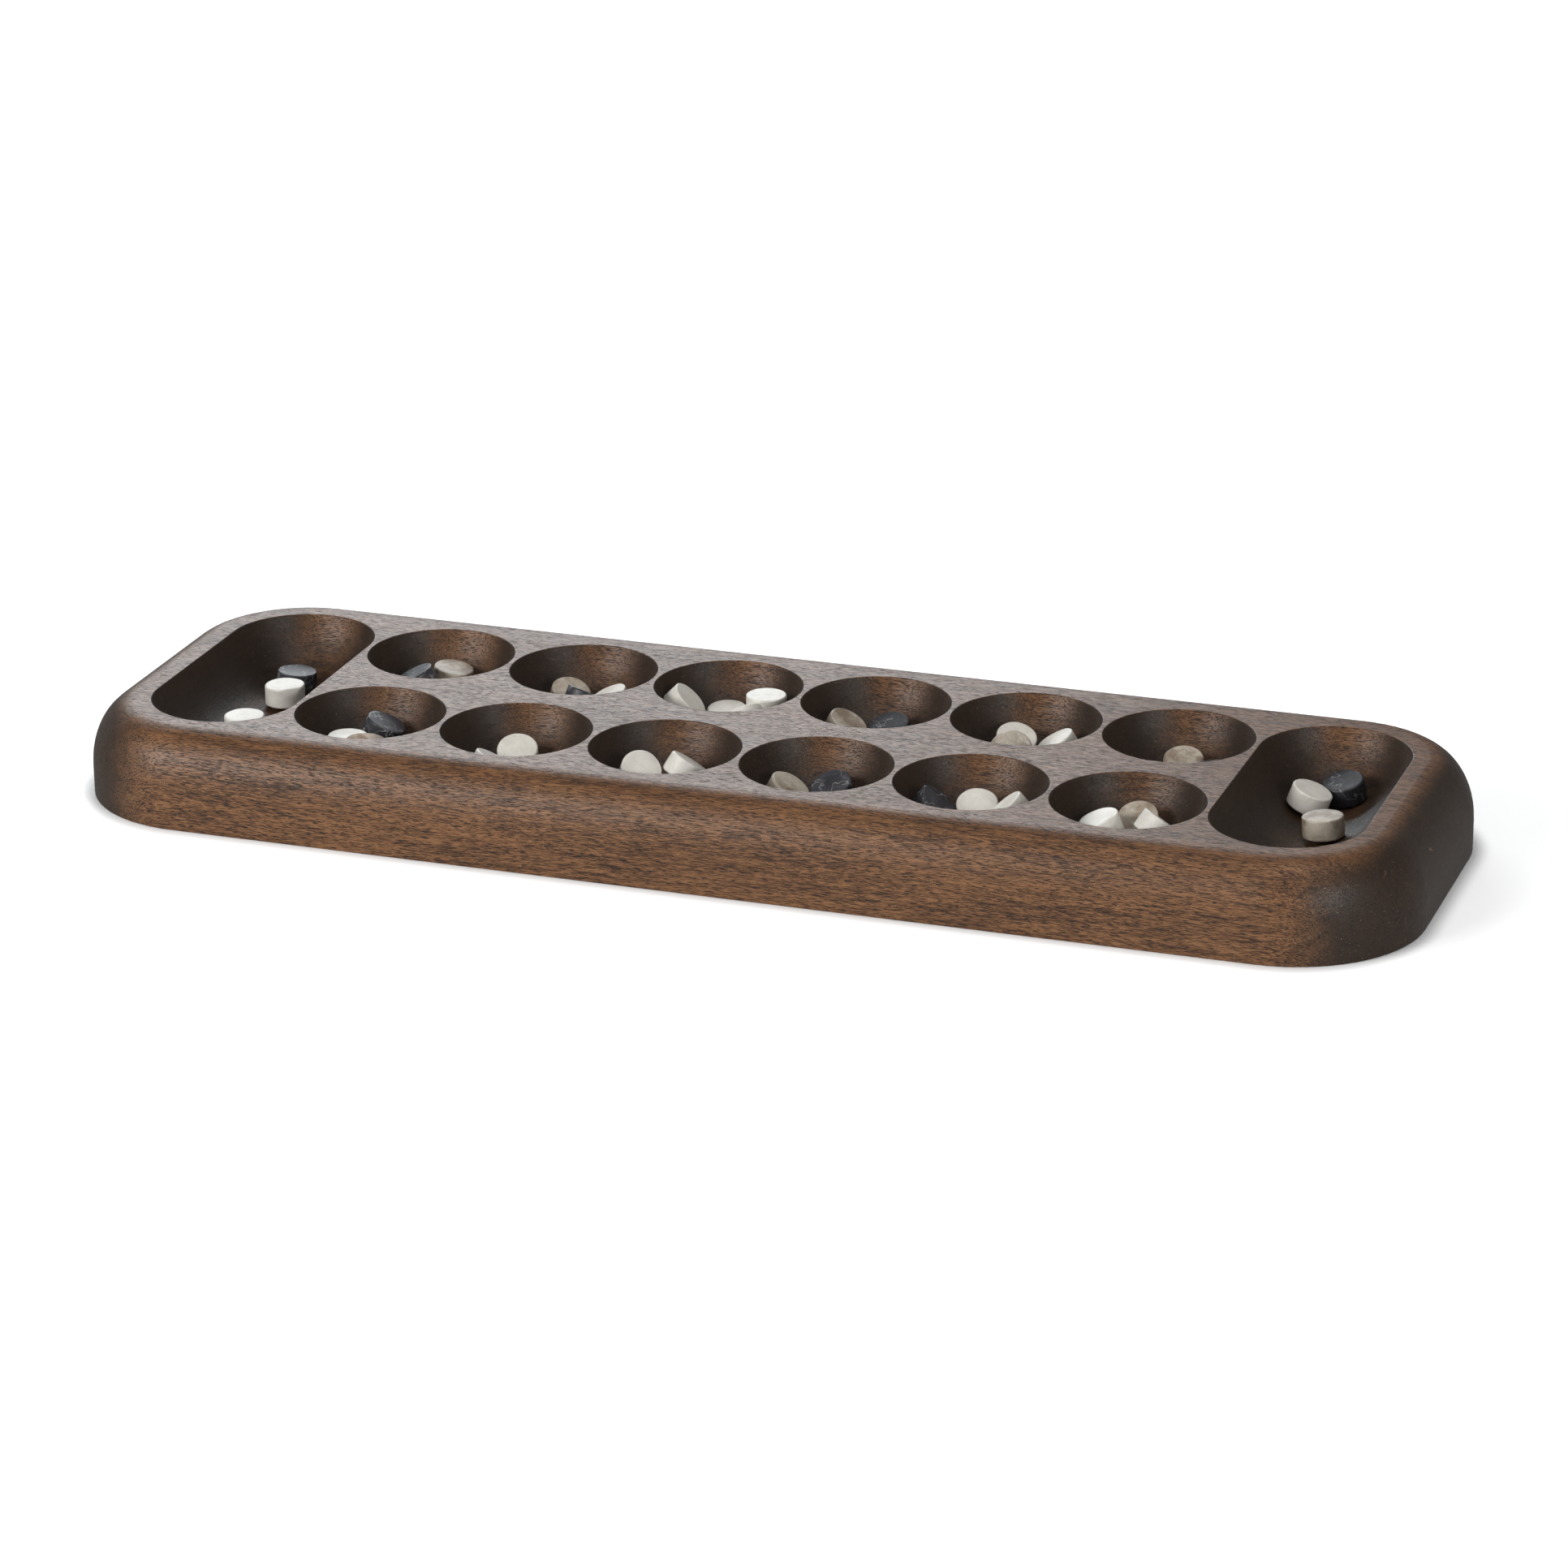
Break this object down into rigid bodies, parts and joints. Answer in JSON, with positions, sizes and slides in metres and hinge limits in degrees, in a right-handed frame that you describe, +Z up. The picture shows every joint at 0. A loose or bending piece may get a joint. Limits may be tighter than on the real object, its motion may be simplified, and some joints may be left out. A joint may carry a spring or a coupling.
{
  "type": "mancala board",
  "caption": "Carved dark walnut mancala board with two rows of round bowls, a long store at each end and loose honed marble stones lying in the hollows.",
  "frame": {"origin": "centre of the board's underside, on the table", "axes": "+X along the board from the left store to the right store, +Y from the front row of bowls to the back row, +Z up"},
  "size_m": [0.6892, 0.2296, 0.048],
  "materials": {
    "walnut": "satin, stained and oiled",
    "white_stone": "honed satin, faint mottling",
    "black_stone": "honed satin, light veins",
    "beige_stone": "honed satin, mottled and speckled"
  },
  "bodies": {
    "board": {"board": "walnut"},
    "left_store_black_stone_1": {"left_store_black_stone_1": "black_stone"},
    "left_store_white_stone_2": {"left_store_white_stone_2": "white_stone"},
    "left_store_white_stone_3": {"left_store_white_stone_3": "white_stone"},
    "left_store_beige_stone_4": {"left_store_beige_stone_4": "beige_stone"},
    "right_store_white_stone_1": {"right_store_white_stone_1": "white_stone"},
    "right_store_black_stone_2": {"right_store_black_stone_2": "black_stone"},
    "right_store_beige_stone_3": {"right_store_beige_stone_3": "beige_stone"},
    "right_store_white_stone_4": {"right_store_white_stone_4": "white_stone"},
    "back_bowl_1_black_stone_1": {"back_bowl_1_black_stone_1": "black_stone"},
    "back_bowl_1_beige_stone_2": {"back_bowl_1_beige_stone_2": "beige_stone"},
    "back_bowl_1_white_stone_3": {"back_bowl_1_white_stone_3": "white_stone"},
    "back_bowl_2_beige_stone_1": {"back_bowl_2_beige_stone_1": "beige_stone"},
    "back_bowl_2_black_stone_2": {"back_bowl_2_black_stone_2": "black_stone"},
    "back_bowl_2_white_stone_3": {"back_bowl_2_white_stone_3": "white_stone"},
    "back_bowl_3_white_stone_1": {"back_bowl_3_white_stone_1": "white_stone"},
    "back_bowl_3_white_stone_2": {"back_bowl_3_white_stone_2": "white_stone"},
    "back_bowl_3_white_stone_3": {"back_bowl_3_white_stone_3": "white_stone"},
    "back_bowl_3_white_stone_4": {"back_bowl_3_white_stone_4": "white_stone"},
    "back_bowl_4_beige_stone_1": {"back_bowl_4_beige_stone_1": "beige_stone"},
    "back_bowl_4_black_stone_2": {"back_bowl_4_black_stone_2": "black_stone"},
    "back_bowl_4_white_stone_3": {"back_bowl_4_white_stone_3": "white_stone"},
    "back_bowl_5_white_stone_1": {"back_bowl_5_white_stone_1": "white_stone"},
    "back_bowl_5_beige_stone_2": {"back_bowl_5_beige_stone_2": "beige_stone"},
    "back_bowl_5_white_stone_3": {"back_bowl_5_white_stone_3": "white_stone"},
    "back_bowl_6_beige_stone_1": {"back_bowl_6_beige_stone_1": "beige_stone"},
    "back_bowl_6_white_stone_2": {"back_bowl_6_white_stone_2": "white_stone"},
    "back_bowl_6_black_stone_3": {"back_bowl_6_black_stone_3": "black_stone"},
    "front_bowl_1_white_stone_1": {"front_bowl_1_white_stone_1": "white_stone"},
    "front_bowl_1_beige_stone_2": {"front_bowl_1_beige_stone_2": "beige_stone"},
    "front_bowl_1_black_stone_3": {"front_bowl_1_black_stone_3": "black_stone"},
    "front_bowl_2_white_stone_1": {"front_bowl_2_white_stone_1": "white_stone"},
    "front_bowl_2_white_stone_2": {"front_bowl_2_white_stone_2": "white_stone"},
    "front_bowl_2_beige_stone_3": {"front_bowl_2_beige_stone_3": "beige_stone"},
    "front_bowl_3_white_stone_1": {"front_bowl_3_white_stone_1": "white_stone"},
    "front_bowl_3_white_stone_2": {"front_bowl_3_white_stone_2": "white_stone"},
    "front_bowl_3_black_stone_3": {"front_bowl_3_black_stone_3": "black_stone"},
    "front_bowl_4_beige_stone_1": {"front_bowl_4_beige_stone_1": "beige_stone"},
    "front_bowl_4_black_stone_2": {"front_bowl_4_black_stone_2": "black_stone"},
    "front_bowl_4_white_stone_3": {"front_bowl_4_white_stone_3": "white_stone"},
    "front_bowl_5_black_stone_1": {"front_bowl_5_black_stone_1": "black_stone"},
    "front_bowl_5_white_stone_2": {"front_bowl_5_white_stone_2": "white_stone"},
    "front_bowl_5_white_stone_3": {"front_bowl_5_white_stone_3": "white_stone"},
    "front_bowl_5_beige_stone_4": {"front_bowl_5_beige_stone_4": "beige_stone"},
    "front_bowl_6_white_stone_1": {"front_bowl_6_white_stone_1": "white_stone"},
    "front_bowl_6_beige_stone_2": {"front_bowl_6_beige_stone_2": "beige_stone"},
    "front_bowl_6_white_stone_3": {"front_bowl_6_white_stone_3": "white_stone"}
  },
  "joints": [
    {"name": "left_store_black_stone_1_lift", "type": "slide", "parent": "board", "child": "left_store_black_stone_1", "axis": [0, 0, 1], "range_m": [0, 0.05]},
    {"name": "left_store_white_stone_2_lift", "type": "slide", "parent": "board", "child": "left_store_white_stone_2", "axis": [0, 0, 1], "range_m": [0, 0.05]},
    {"name": "left_store_white_stone_3_lift", "type": "slide", "parent": "board", "child": "left_store_white_stone_3", "axis": [0, 0, 1], "range_m": [0, 0.05]},
    {"name": "left_store_beige_stone_4_lift", "type": "slide", "parent": "board", "child": "left_store_beige_stone_4", "axis": [0, 0, 1], "range_m": [0, 0.05]},
    {"name": "right_store_white_stone_1_lift", "type": "slide", "parent": "board", "child": "right_store_white_stone_1", "axis": [0, 0, 1], "range_m": [0, 0.05]},
    {"name": "right_store_black_stone_2_lift", "type": "slide", "parent": "board", "child": "right_store_black_stone_2", "axis": [0, 0, 1], "range_m": [0, 0.05]},
    {"name": "right_store_beige_stone_3_lift", "type": "slide", "parent": "board", "child": "right_store_beige_stone_3", "axis": [0, 0, 1], "range_m": [0, 0.05]},
    {"name": "right_store_white_stone_4_lift", "type": "slide", "parent": "board", "child": "right_store_white_stone_4", "axis": [0, 0, 1], "range_m": [0, 0.05]},
    {"name": "back_bowl_1_black_stone_1_lift", "type": "slide", "parent": "board", "child": "back_bowl_1_black_stone_1", "axis": [0, 0, 1], "range_m": [0, 0.05]},
    {"name": "back_bowl_1_beige_stone_2_lift", "type": "slide", "parent": "board", "child": "back_bowl_1_beige_stone_2", "axis": [0, 0, 1], "range_m": [0, 0.05]},
    {"name": "back_bowl_1_white_stone_3_lift", "type": "slide", "parent": "board", "child": "back_bowl_1_white_stone_3", "axis": [0, 0, 1], "range_m": [0, 0.05]},
    {"name": "back_bowl_2_beige_stone_1_lift", "type": "slide", "parent": "board", "child": "back_bowl_2_beige_stone_1", "axis": [0, 0, 1], "range_m": [0, 0.05]},
    {"name": "back_bowl_2_black_stone_2_lift", "type": "slide", "parent": "board", "child": "back_bowl_2_black_stone_2", "axis": [0, 0, 1], "range_m": [0, 0.05]},
    {"name": "back_bowl_2_white_stone_3_lift", "type": "slide", "parent": "board", "child": "back_bowl_2_white_stone_3", "axis": [0, 0, 1], "range_m": [0, 0.05]},
    {"name": "back_bowl_3_white_stone_1_lift", "type": "slide", "parent": "board", "child": "back_bowl_3_white_stone_1", "axis": [0, 0, 1], "range_m": [0, 0.05]},
    {"name": "back_bowl_3_white_stone_2_lift", "type": "slide", "parent": "board", "child": "back_bowl_3_white_stone_2", "axis": [0, 0, 1], "range_m": [0, 0.05]},
    {"name": "back_bowl_3_white_stone_3_lift", "type": "slide", "parent": "board", "child": "back_bowl_3_white_stone_3", "axis": [0, 0, 1], "range_m": [0, 0.05]},
    {"name": "back_bowl_3_white_stone_4_lift", "type": "slide", "parent": "board", "child": "back_bowl_3_white_stone_4", "axis": [0, 0, 1], "range_m": [0, 0.05]},
    {"name": "back_bowl_4_beige_stone_1_lift", "type": "slide", "parent": "board", "child": "back_bowl_4_beige_stone_1", "axis": [0, 0, 1], "range_m": [0, 0.05]},
    {"name": "back_bowl_4_black_stone_2_lift", "type": "slide", "parent": "board", "child": "back_bowl_4_black_stone_2", "axis": [0, 0, 1], "range_m": [0, 0.05]},
    {"name": "back_bowl_4_white_stone_3_lift", "type": "slide", "parent": "board", "child": "back_bowl_4_white_stone_3", "axis": [0, 0, 1], "range_m": [0, 0.05]},
    {"name": "back_bowl_5_white_stone_1_lift", "type": "slide", "parent": "board", "child": "back_bowl_5_white_stone_1", "axis": [0, 0, 1], "range_m": [0, 0.05]},
    {"name": "back_bowl_5_beige_stone_2_lift", "type": "slide", "parent": "board", "child": "back_bowl_5_beige_stone_2", "axis": [0, 0, 1], "range_m": [0, 0.05]},
    {"name": "back_bowl_5_white_stone_3_lift", "type": "slide", "parent": "board", "child": "back_bowl_5_white_stone_3", "axis": [0, 0, 1], "range_m": [0, 0.05]},
    {"name": "back_bowl_6_beige_stone_1_lift", "type": "slide", "parent": "board", "child": "back_bowl_6_beige_stone_1", "axis": [0, 0, 1], "range_m": [0, 0.05]},
    {"name": "back_bowl_6_white_stone_2_lift", "type": "slide", "parent": "board", "child": "back_bowl_6_white_stone_2", "axis": [0, 0, 1], "range_m": [0, 0.05]},
    {"name": "back_bowl_6_black_stone_3_lift", "type": "slide", "parent": "board", "child": "back_bowl_6_black_stone_3", "axis": [0, 0, 1], "range_m": [0, 0.05]},
    {"name": "front_bowl_1_white_stone_1_lift", "type": "slide", "parent": "board", "child": "front_bowl_1_white_stone_1", "axis": [0, 0, 1], "range_m": [0, 0.05]},
    {"name": "front_bowl_1_beige_stone_2_lift", "type": "slide", "parent": "board", "child": "front_bowl_1_beige_stone_2", "axis": [0, 0, 1], "range_m": [0, 0.05]},
    {"name": "front_bowl_1_black_stone_3_lift", "type": "slide", "parent": "board", "child": "front_bowl_1_black_stone_3", "axis": [0, 0, 1], "range_m": [0, 0.05]},
    {"name": "front_bowl_2_white_stone_1_lift", "type": "slide", "parent": "board", "child": "front_bowl_2_white_stone_1", "axis": [0, 0, 1], "range_m": [0, 0.05]},
    {"name": "front_bowl_2_white_stone_2_lift", "type": "slide", "parent": "board", "child": "front_bowl_2_white_stone_2", "axis": [0, 0, 1], "range_m": [0, 0.05]},
    {"name": "front_bowl_2_beige_stone_3_lift", "type": "slide", "parent": "board", "child": "front_bowl_2_beige_stone_3", "axis": [0, 0, 1], "range_m": [0, 0.05]},
    {"name": "front_bowl_3_white_stone_1_lift", "type": "slide", "parent": "board", "child": "front_bowl_3_white_stone_1", "axis": [0, 0, 1], "range_m": [0, 0.05]},
    {"name": "front_bowl_3_white_stone_2_lift", "type": "slide", "parent": "board", "child": "front_bowl_3_white_stone_2", "axis": [0, 0, 1], "range_m": [0, 0.05]},
    {"name": "front_bowl_3_black_stone_3_lift", "type": "slide", "parent": "board", "child": "front_bowl_3_black_stone_3", "axis": [0, 0, 1], "range_m": [0, 0.05]},
    {"name": "front_bowl_4_beige_stone_1_lift", "type": "slide", "parent": "board", "child": "front_bowl_4_beige_stone_1", "axis": [0, 0, 1], "range_m": [0, 0.05]},
    {"name": "front_bowl_4_black_stone_2_lift", "type": "slide", "parent": "board", "child": "front_bowl_4_black_stone_2", "axis": [0, 0, 1], "range_m": [0, 0.05]},
    {"name": "front_bowl_4_white_stone_3_lift", "type": "slide", "parent": "board", "child": "front_bowl_4_white_stone_3", "axis": [0, 0, 1], "range_m": [0, 0.05]},
    {"name": "front_bowl_5_black_stone_1_lift", "type": "slide", "parent": "board", "child": "front_bowl_5_black_stone_1", "axis": [0, 0, 1], "range_m": [0, 0.05]},
    {"name": "front_bowl_5_white_stone_2_lift", "type": "slide", "parent": "board", "child": "front_bowl_5_white_stone_2", "axis": [0, 0, 1], "range_m": [0, 0.05]},
    {"name": "front_bowl_5_white_stone_3_lift", "type": "slide", "parent": "board", "child": "front_bowl_5_white_stone_3", "axis": [0, 0, 1], "range_m": [0, 0.05]},
    {"name": "front_bowl_5_beige_stone_4_lift", "type": "slide", "parent": "board", "child": "front_bowl_5_beige_stone_4", "axis": [0, 0, 1], "range_m": [0, 0.05]},
    {"name": "front_bowl_6_white_stone_1_lift", "type": "slide", "parent": "board", "child": "front_bowl_6_white_stone_1", "axis": [0, 0, 1], "range_m": [0, 0.05]},
    {"name": "front_bowl_6_beige_stone_2_lift", "type": "slide", "parent": "board", "child": "front_bowl_6_beige_stone_2", "axis": [0, 0, 1], "range_m": [0, 0.05]},
    {"name": "front_bowl_6_white_stone_3_lift", "type": "slide", "parent": "board", "child": "front_bowl_6_white_stone_3", "axis": [0, 0, 1], "range_m": [0, 0.05]}
  ]
}
